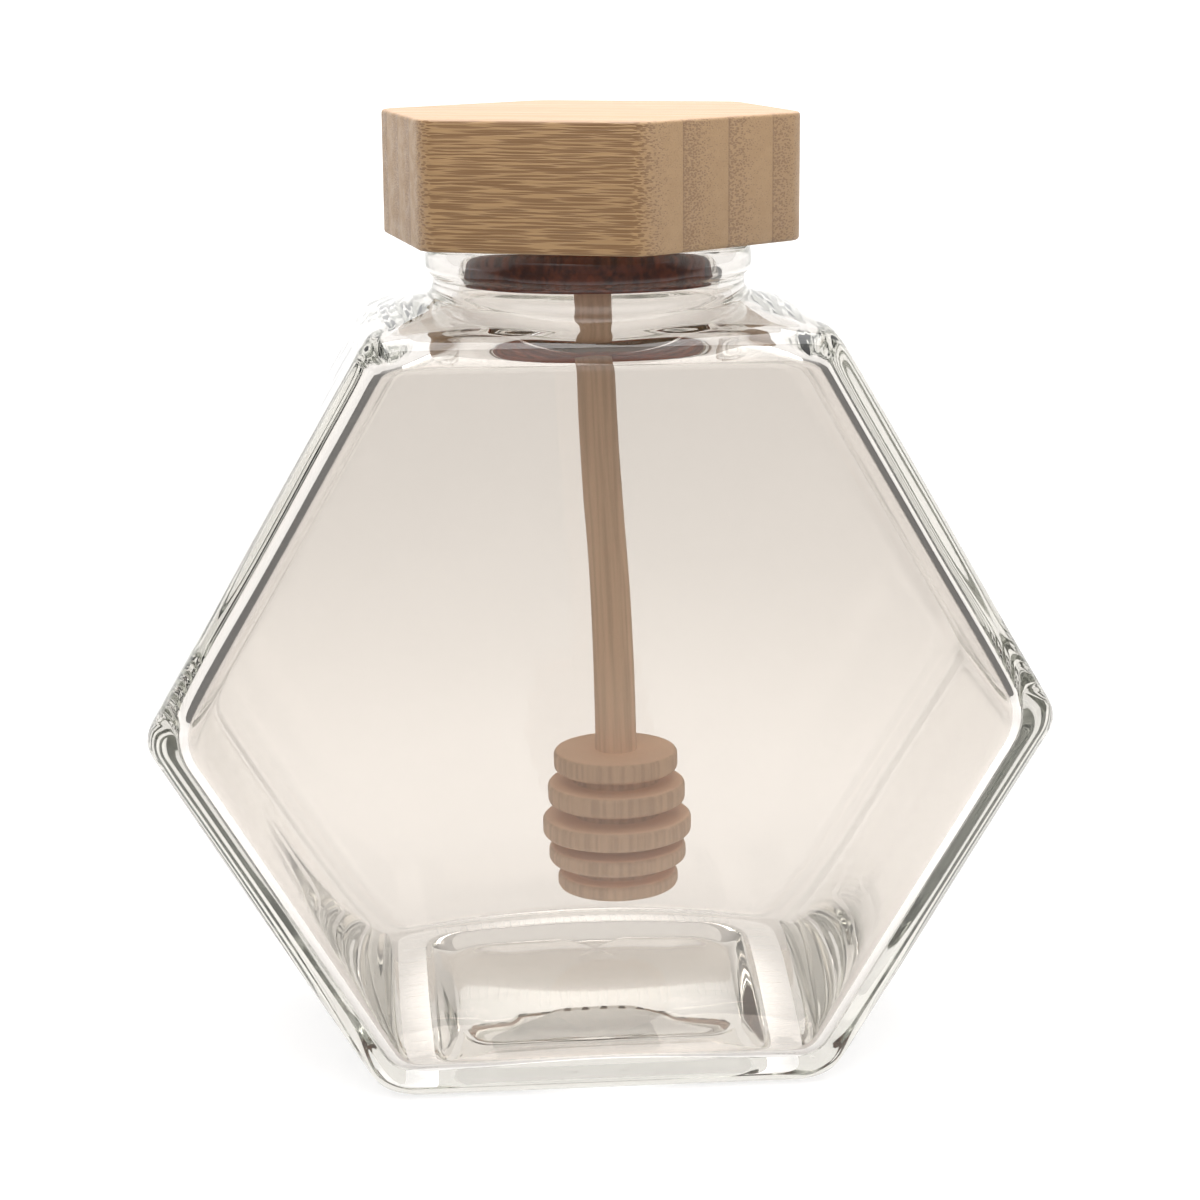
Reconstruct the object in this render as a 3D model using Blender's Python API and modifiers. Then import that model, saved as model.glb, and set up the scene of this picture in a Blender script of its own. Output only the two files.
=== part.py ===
"""Hexagonal glass honey jar with a bamboo stopper lid and a wooden dipper.

The jar stands on its knurled foot at z = 0, with the origin at the centre of its foot.
Its hexagon faces -Y, with a point to the left (-X) and one to the right (+X).
The lid's cork sits in the neck, and the dipper hangs from the cork into the empty jar.
Run it with: blender --background --python part.py
"""
import math

import bmesh
import bpy
from mathutils import Euler, Matrix, Vector

MM = 0.001
GAP = 0.3

# Jar body, a hexagon seen from the front, in millimetres
BODY_HALF_WIDTH = 62.5
BODY_DEPTH = 54.0
FOOT_HALF_WIDTH = 31.2
SHOULDER_HALF_WIDTH = 30.9
POINT_HEIGHT = 52.0
BODY_HEIGHT = 106.15
EDGE_RADIUS = 4.4
WALL = 3.0
INNER_EDGE_RADIUS = 4.0
INNER_POINT_RADIUS = 8.0

# Foot: a bearing ring round a shallow recess, under a thick glass floor. Each line of the recess gives the
# share of its outline and the share of its depth, from the middle out
RING_WIDTH_FRONT = 3.0
RING_WIDTH_SIDE = 9.2
RECESS_DEPTH = 1.4
RECESS_CORNER = 5.0
RECESS_PROFILE = (
    (0.5, 1.0),
    (0.88, 1.0),
    (0.97, 0.6),
    (1.0, 0.0),
)
FLOOR_HEIGHT = 10.5
FLOOR_RADIUS = 7.0
FLOOR_MIDDLE_RING = 0.5

# Shoulder, from the body's top edge in to the neck. Each line gives half width, half depth, corner radius,
# roundness, and the heights over the shoulder's front at the front and at the sides
SHOULDER_FRONT_HEIGHT = 107.0
SHOULDER_EASE = 0.9
SHOULDER_SECTIONS = (
    (29.2, 23.6, 6.0, 0.15, -0.7, -0.5),
    (26.4, 22.9, 12.0, 0.5, -0.3, 0.855),
    (23.6, 22.5, 18.0, 0.85, 0.0, 1.615),
    (22.2, 22.2, 22.2, 1.0, 0.3, 1.9),
    (22.2, 22.2, 22.2, 1.0, 1.4, 2.3),
    (21.7, 21.7, 21.7, 1.0, 2.2, 2.7),
)

# Neck and bore as (radius, height), up the outside, over the rim and down the inside
NECK_PROFILE = (
    (21.7, 111.2),
    (22.7, 112.1),
    (22.7, 114.7),
    (22.3, 115.7),
    (21.3, 116.1),
    (18.9, 116.1),
    (18.25, 115.8),
    (18.0, 115.1),
    (18.0, 104.6),
    (18.5, 103.2),
)

# Underside of the shoulder, in the form of SHOULDER_SECTIONS, with heights over ROOF_HEIGHT
ROOF_HEIGHT = 102.15
ROOF_EASE = 1.2
ROOF_SECTIONS = (
    (20.5, 19.4, 15.0, 0.9, 0.1, 0.8),
    (24.2, 20.2, 9.0, 0.4, 0.0, 0.4),
)

# Lid, stopper and dipper
LID_BOTTOM = 116.4
LID_HEIGHT = 17.2
LID_CIRCUMRADIUS = 30.4
LID_CORNER_RADIUS = 4.0
LID_EDGE_CHAMFER = 0.5
LID_TURN_DEG = -20.85
STOPPER_TOP_RADIUS = 17.7
STOPPER_BOTTOM_RADIUS = 16.9
STOPPER_BOTTOM = 110.5
STICK_TOP_X = 0.5
STICK_BOTTOM_X = 3.4
STICK_TOP_RADIUS = 2.6
STICK_BOTTOM_RADIUS = 3.0
STICK_BOW = 0.25
HEAD_CENTRE_X = 3.55
HEAD_BOTTOM = 22.3
HEAD_TILT_DEG = -0.9
HEAD_RING_RADII = (8.95, 9.95, 10.75, 9.95, 8.7)
HEAD_RING_HEIGHTS = (3.0, 3.1, 3.0, 2.5, 2.3)
HEAD_GROOVE_HEIGHTS = (1.65, 1.85, 1.45, 1.7)
HEAD_GROOVE_RADIUS = 6.2
HEAD_EDGE = 0.5
STOPPER_EDGE = 0.5

# Facets
RING_POINTS = 48
ARC_STEPS = 4
TURNED_STEPS = 32
STICK_STEPS = 10

LOWER_SLOPE = math.atan2(POINT_HEIGHT, BODY_HALF_WIDTH - FOOT_HALF_WIDTH)
UPPER_SLOPE = math.atan2(BODY_HEIGHT - POINT_HEIGHT, BODY_HALF_WIDTH - SHOULDER_HALF_WIDTH)


def new_collection(name):
    collection = bpy.data.collections.new(name)
    bpy.context.scene.collection.children.link(collection)
    return collection


def material(name, colour, roughness, metallic=0.0, transmission=0.0):
    """A Principled material in linear colour."""
    made = bpy.data.materials.new(name)
    made.use_nodes = True
    shader = made.node_tree.nodes["Principled BSDF"]
    shader.inputs["Base Color"].default_value = (*colour, 1.0)
    shader.inputs["Roughness"].default_value = roughness
    shader.inputs["Metallic"].default_value = metallic
    shader.inputs["Transmission Weight"].default_value = transmission
    return made


def add_object(name, data, collection, finish):
    made = bpy.data.objects.new(name, data)
    collection.objects.link(made)
    data.materials.append(finish)
    return made


def mesh_from(bm, name, sharp_deg=35.0):
    """Turn a finished bmesh into a mesh in metres, shaded smooth with its sharp edges kept."""
    bmesh.ops.scale(bm, vec=(MM, MM, MM), verts=bm.verts)
    mesh = bpy.data.meshes.new(name)
    bm.to_mesh(mesh)
    bm.free()
    mesh.shade_smooth()
    mesh.set_sharp_from_angle(angle=math.radians(sharp_deg))
    return mesh


# Hexagon outline of the body, as its half width at a height

def side_line(z, inset=0.0):
    """Half width of the straight slanted sides at height z, moved inwards by inset."""
    lower = FOOT_HALF_WIDTH + z / math.tan(LOWER_SLOPE) - inset / math.sin(LOWER_SLOPE)
    upper = BODY_HALF_WIDTH - (z - POINT_HEIGHT) / math.tan(UPPER_SLOPE) - inset / math.sin(UPPER_SLOPE)
    return min(lower, upper)


def point_arc(radius, inset=0.0):
    """Points (half width, height) of the rounded side point of the hexagon, from below upwards."""
    turn = math.pi - LOWER_SLOPE - UPPER_SLOPE
    middle = Vector((side_line(POINT_HEIGHT, inset), POINT_HEIGHT))
    centre = middle - Vector((radius / math.cos(turn / 2.0), 0.0))
    first = LOWER_SLOPE - math.pi / 2.0
    arc = []
    for step in range(ARC_STEPS + 1):
        angle = first + turn * step / ARC_STEPS
        arc.append((centre.x + radius * math.cos(angle), centre.y + radius * math.sin(angle)))
    return arc


def heel_arc(floor_z, radius, inset=0.0):
    """Points (half width, half depth, height) where the walls round into a floor, from the floor up."""
    flat_width = side_line(floor_z, inset) - radius * math.tan(LOWER_SLOPE / 2.0)
    flat_depth = BODY_DEPTH / 2.0 - inset - radius
    tangent_z = floor_z + radius * (1.0 - math.cos(LOWER_SLOPE))
    arc = []
    for step in range(ARC_STEPS + 1):
        angle = math.pi / 2.0 * step / ARC_STEPS
        z = floor_z + radius * (1.0 - math.cos(angle))
        reach = math.sqrt(max(radius ** 2 - (radius - (z - floor_z)) ** 2, 0.0))
        width = flat_width + reach if z < tangent_z else side_line(z, inset)
        arc.append((width, flat_depth + radius * math.sin(angle), z))
    return arc


def section_point(index, half_width, half_depth, corner, roundness):
    """Point of a horizontal section, from a rounded rectangle (0) to an ellipse (1)."""
    quarter_steps = RING_POINTS // 4
    quarter, step = divmod(index, quarter_steps)
    flat_steps = quarter_steps // 4
    arc_steps = quarter_steps - 2 * flat_steps
    if quarter % 2 == 1:
        step = quarter_steps - step
    if step <= flat_steps:
        x = half_width
        y = (half_depth - corner) * step / flat_steps
    elif step < flat_steps + arc_steps:
        angle = math.pi / 2.0 * (step - flat_steps) / arc_steps
        x = half_width - corner + corner * math.cos(angle)
        y = half_depth - corner + corner * math.sin(angle)
    else:
        x = (half_width - corner) * (quarter_steps - step) / flat_steps
        y = half_depth
    angle = math.pi / 2.0 * step / quarter_steps
    x += (half_width * math.cos(angle) - x) * roundness
    y += (half_depth * math.sin(angle) - y) * roundness
    if quarter in (1, 2):
        x = -x
    if quarter in (2, 3):
        y = -y
    return x, y


def section(half_width, half_depth, z, corner=EDGE_RADIUS, roundness=0.0, side_z=None):
    """One ring of the jar. side_z lifts the ring towards its two sides, as on the saddle shoulder."""
    side_z = z if side_z is None else side_z
    points = []
    for index in range(RING_POINTS):
        x, y = section_point(index, half_width, half_depth, corner, roundness)
        lift = (side_z - z) * (x / half_width) ** 2
        points.append(Vector((x, y, z + lift)))
    return points


def round_section(radius, z):
    return section(radius, radius, z, corner=radius, roundness=1.0)


def lifted_sections(table, base_z):
    """Rings from a table of half width, half depth, corner, roundness and two heights over base_z."""
    rings = []
    for width, depth, corner, roundness, front_z, side_z in table:
        rings.append(section(width, depth, base_z + front_z, corner, roundness, base_z + side_z))
    return rings


def foot_sections():
    """Recess under the base, from its middle out to the bearing ring."""
    ring_width, ring_depth, _ = heel_arc(0.0, EDGE_RADIUS)[0]
    recess_width = ring_width - RING_WIDTH_SIDE
    recess_depth = ring_depth - RING_WIDTH_FRONT
    rings = []
    for shrink, height in RECESS_PROFILE:
        corner = RECESS_CORNER * shrink
        rings.append(section(recess_width * shrink, recess_depth * shrink, RECESS_DEPTH * height, corner))
    return rings


def outer_body_sections():
    """Outside of the body, from the bearing ring up to the rounded front edge of the shoulder."""
    rings = []
    for width, depth, z in heel_arc(0.0, EDGE_RADIUS):
        rings.append(section(width, depth, z))
    for width, z in point_arc(EDGE_RADIUS):
        rings.append(section(width, BODY_DEPTH / 2.0, z))
    edge_z = BODY_HEIGHT - EDGE_RADIUS
    for step in range(ARC_STEPS):
        angle = math.pi / 2.0 * step / ARC_STEPS
        z = edge_z + EDGE_RADIUS * math.sin(angle)
        depth = BODY_DEPTH / 2.0 - EDGE_RADIUS * (1.0 - math.cos(angle))
        ease = SHOULDER_EASE * (step / ARC_STEPS) ** 3
        rings.append(section(side_line(z) - ease, depth, z))
    return rings


def inner_shoulder_sections():
    """Inside of the shoulder, from the bore out to the walls."""
    inner_depth = BODY_DEPTH / 2.0 - WALL
    radius = INNER_EDGE_RADIUS
    rings = lifted_sections(ROOF_SECTIONS, ROOF_HEIGHT)
    for step in range(1, ARC_STEPS + 1):
        angle = math.pi / 2.0 * step / ARC_STEPS
        z = ROOF_HEIGHT - radius * (1.0 - math.cos(angle))
        depth = inner_depth - radius * (1.0 - math.sin(angle))
        ease = ROOF_EASE * (1.0 - step / ARC_STEPS) ** 2
        rings.append(section(side_line(z, WALL) - ease, depth, z, INNER_EDGE_RADIUS))
    return rings


def inner_body_sections():
    """Inside of the walls, down to the middle of the thick floor."""
    inner_depth = BODY_DEPTH / 2.0 - WALL
    rings = []
    for width, z in reversed(point_arc(INNER_POINT_RADIUS, WALL)):
        rings.append(section(width, inner_depth, z, INNER_EDGE_RADIUS))
    floor = heel_arc(FLOOR_HEIGHT, FLOOR_RADIUS, WALL)
    for width, depth, z in reversed(floor):
        rings.append(section(width, depth, z, INNER_EDGE_RADIUS))
    width, depth, z = floor[0]
    shrink = FLOOR_MIDDLE_RING
    rings.append(section(width * shrink, depth * shrink, z, INNER_EDGE_RADIUS * shrink))
    return rings


def loft(rings):
    """Closed skin through the rings in order, with a flat cap on the first and the last."""
    bm = bmesh.new()
    number = bm.verts.layers.int.new("number")
    first = bmesh.ops.create_circle(bm, segments=RING_POINTS, radius=1.0)["verts"]
    for index, vert in enumerate(first):
        vert[number] = index
        vert.co = rings[0][index]
    edges = list(bm.edges)
    bmesh.ops.contextual_create(bm, geom=edges)
    for ring in rings[1:]:
        grown = bmesh.ops.extrude_edge_only(bm, edges=edges)["geom"]
        for item in grown:
            if isinstance(item, bmesh.types.BMVert):
                item.co = ring[item[number]]
        edges = [item for item in grown if isinstance(item, bmesh.types.BMEdge) and item.is_boundary]
    bmesh.ops.contextual_create(bm, geom=edges)
    bmesh.ops.recalc_face_normals(bm, faces=bm.faces)
    return bm


def make_jar(collection, finish):
    """The blown glass jar, one skin from the foot's recess over the rim to the inner floor."""
    rings = foot_sections() + outer_body_sections()
    rings += lifted_sections(SHOULDER_SECTIONS, SHOULDER_FRONT_HEIGHT)
    rings += [round_section(radius, z) for radius, z in NECK_PROFILE]
    rings += inner_shoulder_sections() + inner_body_sections()
    return add_object("jar", mesh_from(loft(rings), "jar"), collection, finish)


def make_lid(collection, finish):
    """The hexagonal bamboo block, with rounded corners and a fine chamfer."""
    bm = bmesh.new()
    place = Matrix.Rotation(math.radians(LID_TURN_DEG), 4, "Z")
    bmesh.ops.create_cone(bm, cap_ends=True, segments=6, radius1=LID_CIRCUMRADIUS,
                          radius2=LID_CIRCUMRADIUS, depth=LID_HEIGHT)
    corner_angles = [math.atan2(vert.co.y, vert.co.x) for vert in bm.verts]
    to_point_right = Matrix.Rotation(-corner_angles[0], 4, "Z")
    bmesh.ops.transform(bm, matrix=to_point_right, verts=bm.verts)
    upright = [edge for edge in bm.edges if abs(edge.verts[0].co.z - edge.verts[1].co.z) > 1.0]
    bmesh.ops.bevel(bm, geom=upright, offset=LID_CORNER_RADIUS * math.tan(math.radians(30.0)),
                    offset_type="OFFSET", segments=6, profile=0.5, affect="EDGES", material=-1)
    rims = [edge for edge in bm.edges if abs(edge.verts[0].co.z - edge.verts[1].co.z) < 0.01]
    bmesh.ops.bevel(bm, geom=rims, offset=LID_EDGE_CHAMFER, offset_type="OFFSET", segments=1,
                    profile=0.5, affect="EDGES", material=-1)
    bmesh.ops.transform(bm, matrix=place, verts=bm.verts)
    lid = add_object("lid", mesh_from(bm, "lid"), collection, finish)
    lid.location = (0.0, 0.0, (LID_BOTTOM + LID_HEIGHT / 2.0) * MM)
    return lid


def turned(name, profile, collection, finish):
    """Turn a profile of (radius, height) points, listed top to bottom, about the Z axis."""
    bm = bmesh.new()
    verts = [bm.verts.new((radius * MM, 0.0, height * MM)) for radius, height in profile]
    for upper, lower in zip(verts, verts[1:]):
        bm.edges.new((upper, lower))
    mesh = bpy.data.meshes.new(name)
    bm.to_mesh(mesh)
    bm.free()
    made = add_object(name, mesh, collection, finish)
    screw = made.modifiers.new("Turn", "SCREW")
    screw.steps = TURNED_STEPS
    screw.render_steps = TURNED_STEPS
    screw.use_merge_vertices = True
    screw.merge_threshold = 0.00001
    screw.use_smooth_shade = True
    return made


def make_stopper(collection, finish):
    """The tapered cork disc under the lid, clear of the bore by the gap."""
    top = LID_BOTTOM - GAP
    profile = [
        (0.0, top),
        (STOPPER_TOP_RADIUS, top),
        (STOPPER_BOTTOM_RADIUS, STOPPER_BOTTOM + STOPPER_EDGE),
        (STOPPER_BOTTOM_RADIUS - STOPPER_EDGE, STOPPER_BOTTOM),
        (0.0, STOPPER_BOTTOM),
    ]
    return turned("stopper", profile, collection, finish)


def head_height():
    return sum(HEAD_RING_HEIGHTS) + sum(HEAD_GROOVE_HEIGHTS)


def make_head(collection, finish):
    """The turned dipper head: five rings with four deep grooves."""
    profile = [(0.0, head_height())]
    top = head_height()
    for index, (radius, height) in enumerate(zip(HEAD_RING_RADII, HEAD_RING_HEIGHTS)):
        bottom = top - height
        profile += [(radius - HEAD_EDGE, top), (radius, top - HEAD_EDGE)]
        profile += [(radius, bottom + HEAD_EDGE), (radius - HEAD_EDGE, bottom)]
        if index < len(HEAD_GROOVE_HEIGHTS):
            profile.append((HEAD_GROOVE_RADIUS, bottom))
            top = bottom - HEAD_GROOVE_HEIGHTS[index]
            profile.append((HEAD_GROOVE_RADIUS, top))
    profile.append((0.0, 0.0))
    head = turned("dipper_head", profile, collection, finish)
    head.location = (HEAD_CENTRE_X * MM, 0.0, HEAD_BOTTOM * MM)
    head.rotation_euler = Euler((0.0, math.radians(HEAD_TILT_DEG), 0.0))
    return head


def make_stick(collection, finish):
    """The slightly bowed dowel, from under the cork to the top of the head."""
    top = STOPPER_BOTTOM - GAP
    bottom = HEAD_BOTTOM + head_height() + GAP
    curve = bpy.data.curves.new("dipper_stick", "CURVE")
    curve.dimensions = "3D"
    curve.bevel_depth = MM
    curve.bevel_resolution = 4
    curve.use_fill_caps = True
    spline = curve.splines.new("POLY")
    spline.points.add(STICK_STEPS)
    for index, point in enumerate(spline.points):
        along = index / STICK_STEPS
        x = STICK_TOP_X + (STICK_BOTTOM_X - STICK_TOP_X) * along
        x -= STICK_BOW * math.sin(2.0 * math.pi * along)
        z = top + (bottom - top) * along
        point.co = (x * MM, 0.0, z * MM, 1.0)
        point.radius = STICK_TOP_RADIUS + (STICK_BOTTOM_RADIUS - STICK_TOP_RADIUS) * along
    return add_object("dipper_stick", curve, collection, finish)


def main():
    for old in list(bpy.data.objects):
        bpy.data.objects.remove(old, do_unlink=True)
    collection = new_collection("honey_jar")
    glass = material("clear_glass", (0.92, 0.93, 0.90), 0.02, transmission=1.0)
    bamboo = material("bamboo", (0.42, 0.27, 0.15), 0.5)
    cork = material("dark_cork", (0.09, 0.04, 0.02), 0.8)
    beech = material("beech", (0.38, 0.26, 0.18), 0.6)
    make_jar(collection, glass)
    make_lid(collection, bamboo)
    make_stopper(collection, cork)
    make_stick(collection, beech)
    make_head(collection, beech)


main()
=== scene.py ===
"""Looks of the hexagonal glass honey jar with its bamboo stopper lid and wooden dipper.

The jar stands on z = 0, its hexagon faces -Y. Lengths are in metres.
"""

import math

import bmesh
import bpy
from mathutils import Matrix, Vector, noise


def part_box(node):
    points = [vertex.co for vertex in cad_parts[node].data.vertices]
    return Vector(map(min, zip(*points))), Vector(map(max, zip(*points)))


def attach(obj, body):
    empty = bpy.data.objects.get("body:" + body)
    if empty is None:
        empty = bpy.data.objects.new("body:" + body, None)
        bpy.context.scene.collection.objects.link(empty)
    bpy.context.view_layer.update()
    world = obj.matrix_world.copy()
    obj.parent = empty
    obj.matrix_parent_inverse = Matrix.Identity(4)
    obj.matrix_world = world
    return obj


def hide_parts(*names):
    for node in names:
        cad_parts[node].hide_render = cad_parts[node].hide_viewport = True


bl_info = {
    "name": "Hexagonal Honey Jar",
    "version": (1, 0, 0),
    "blender": (4, 5, 0),
    "location": "View3D > Sidebar > Honey Jar",
    "description": "Makes a hexagonal glass honey jar with a bamboo stopper lid and a wooden dipper",
    "category": "Add Mesh",
}

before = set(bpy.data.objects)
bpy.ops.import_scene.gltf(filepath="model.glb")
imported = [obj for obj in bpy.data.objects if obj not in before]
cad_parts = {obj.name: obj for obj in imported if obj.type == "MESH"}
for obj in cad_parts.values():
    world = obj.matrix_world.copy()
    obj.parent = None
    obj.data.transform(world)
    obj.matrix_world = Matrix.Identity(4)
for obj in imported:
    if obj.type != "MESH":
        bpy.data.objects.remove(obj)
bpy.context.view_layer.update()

MM = 0.001
BODY = "root"

JAR_LOW, JAR_HIGH = (Vector(corner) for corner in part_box("jar"))
LID_LOW, LID_HIGH = (Vector(corner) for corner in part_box("lid"))
CORK_LOW, CORK_HIGH = (Vector(corner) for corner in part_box("stopper"))
HEAD_HIGH = Vector(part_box("dipper_head")[1])

# Steps of the jar's mesh: points round a section, steps in a rounded edge and along a flat wall
JAR_RING_POINTS = 96
ARC_STEPS = 6
WALL_STEPS = 10

# Recess under the base: shares of its flat middle, and of its slanted edge as (outwards, depth)
RECESS_CORNER = 5.0 * MM
RECESS_SHARES = (0.25, 0.5, 0.75, 0.95)
RECESS_SLOPE = ((0.03, 0.98), (0.14, 0.88), (0.5, 0.5), (0.86, 0.12), (1.0, 0.0))
BEARING_SHARES = (0.08, 0.32, 0.68, 0.92)
FLOOR_SHARES = (0.9, 0.78, 0.64, 0.48, 0.32, 0.16)
FLOOR_FADE_SHARE = 0.5

# How far the body draws in at its top edge, outside and inside
SHOULDER_EASE = 0.9 * MM
ROOF_EASE = 1.2 * MM

# Saddle shoulder over the height of its front: half width, half depth, corner radius, roundness, and the
# heights at the front and at the sides, all in mm but the roundness
SADDLE_FRONT = 0.85 * MM
SADDLE_SECTIONS = (
    (29.2, 23.6, 6.0, 0.15, -0.7, -0.5),
    (26.4, 22.9, 12.0, 0.5, -0.3, 0.855),
    (23.6, 22.5, 18.0, 0.85, 0.0, 1.615),
)

# Flared inside of the shoulder, side by side with the outside, over the roof height and in the same form
FLARE_SECTIONS = (
    (18.0, 18.0, 18.0, 1.0, 4.45, 6.3),
    (18.2, 18.2, 18.2, 1.0, 3.1, 5.1),
    (18.8, 18.8, 18.8, 1.0, 1.8, 4.0),
    (20.4, 19.8, 15.0, 0.95, 0.7, 3.0),
    (23.0, 21.2, 11.0, 0.6, -0.15, 2.1),
    (26.0, 22.4, 7.0, 0.2, -0.6, 1.1),
)

# Collar at the foot of the neck: radius over the neck's, and heights over the saddle's front, in mm
COLLAR_RINGS = ((0.5, 0.3, 1.9), (0.5, 1.4, 2.3), (0.0, 2.2, 2.7))

# Edges of the bead and the rim, as (outwards, upwards) from the edge that they round, in mm
BEAD_BOTTOM = 111.6 * MM
BEAD_UNDERSIDE = ((0.0, -0.5), (0.15, -0.1))
BEAD_LOWER_EDGE = ((-0.15, 0.4), (0.0, 1.0))
RIM_OUTER_EDGE = ((0.0, -1.6), (-0.3, -0.6), (-0.9, -0.1), (-1.5, 0.0))
RIM_INNER_EDGE = ((1.3, 0.0), (0.5, -0.15), (0.1, -0.6), (0.0, -1.4))
BORE_BOTTOM = 110.0 * MM

# Unevenness of the blown walls: noise per metre, the weight of the finer one, and what is left of it outside
RIPPLE_SCALE = 55.0
RIPPLE_FINE_SCALE = 140.0
RIPPLE_FINE_WEIGHT = 0.12
RIPPLE_OUTSIDE = 0.15
RIPPLE_FREE_FOOT = 2.0 * MM

# Depth of colour in the glass
GLASS_IOR = 1.5
GLASS_DEPTH_COLOUR = (0.30, 0.33, 0.24, 1.0)
GLASS_DEPTH_DENSITY = 6.0

# Knurl under the foot, in metres: where its bars begin and end from the jar's middle, how far apart they are,
# how high they stand, and the heights over the table where they fade out
KNURL_SIDE_ZONE = (0.0236, 0.0268)
KNURL_END_ZONE = (0.0197, 0.0222)
KNURL_END_FADE = (0.0215, 0.0235)
KNURL_SIDE_PITCH = 0.0029
KNURL_BEAD_PITCH = 0.0008
KNURL_END_PITCH = 0.0022
KNURL_RELIEF = 0.00025
KNURL_TOP_FADE = (0.0002, 0.0006)

# Bamboo: fibre bundles per metre along, across and up the wood, how crowded they are from one side of a strip
# to the other, and their relief in metres
BUNDLE_SCALE = (130.0, 2300.0, 3700.0)
BUNDLE_CROWDING = (0.56, 0.20)
BUNDLE_RELIEF = 0.00006
END_GRAIN_COLOUR = (0.46, 0.34, 0.24)

# Cork: grains and clouds per metre, relief and dents in metres
CORK_GRAIN_SCALE = 900.0
CORK_CLOUD_SCALE = 800.0
CORK_RELIEF = 0.0002
CORK_TAPER = 0.8 * MM
CORK_EDGE = 0.5 * MM
CORK_DENT = 0.25 * MM

# Dowel in mm: sideways place at the top, drift to the bottom, bow, and radius at the top with its growth
DOWEL_PLACE = 0.5
DOWEL_DRIFT = 2.9
DOWEL_BOW = 0.25
DOWEL_RADIUS = 2.6
DOWEL_RADIUS_GROWTH = 0.4
DOWEL_UNEVEN = 0.06 * MM
DOWEL_LENGTH = 67.0
DOWEL_IN_HEAD = 0.4 * MM
DOWEL_STEPS = 60

# Turned dipper head from the top down, in mm: radii and heights of the rings, heights of the grooves
HEAD_RADII = (8.95, 9.95, 10.75, 9.95, 8.7)
HEAD_HEIGHTS = (3.0, 3.1, 3.0, 2.5, 2.3)
HEAD_GROOVES = (1.65, 1.85, 1.45, 1.7)
HEAD_SOFT_EDGE = 0.75 * MM
HEAD_GROOVE_EDGE = 0.3 * MM
HEAD_UNEVEN = 0.08 * MM
HEAD_PLACE = (3.55 * MM, 0.0, 22.3 * MM)
BEECH_RELIEF = 0.00008

# Studio: the sweep in metres, the lamp over the jar, and light bounces enough for nested glass
SWEEP_HALF_WIDTH = 2.4
SWEEP_FRONT = -1.5
SWEEP_BEND = 0.9
SWEEP_RADIUS = 0.7
SWEEP_STEPS = 12
SWEEP_TOP = 2.6
LAMP_PLACE = (0.02, 0.0, 0.45)
LAMP_SIZE = 0.35
LAMP_POWER = 1.9
LIGHT_BOUNCES = 40

# The photograph's camera, fitted to the jar's outline
CAMERA_PLACE = Vector((-0.0308, -0.3830, 0.1532))
CAMERA_TARGET = Vector((0.001266, 0.0, 0.064543))
CAMERA_ROLL = math.radians(-0.447)
CAMERA_LENS = 82.82
CAMERA_SENSOR = 36.0


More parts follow.
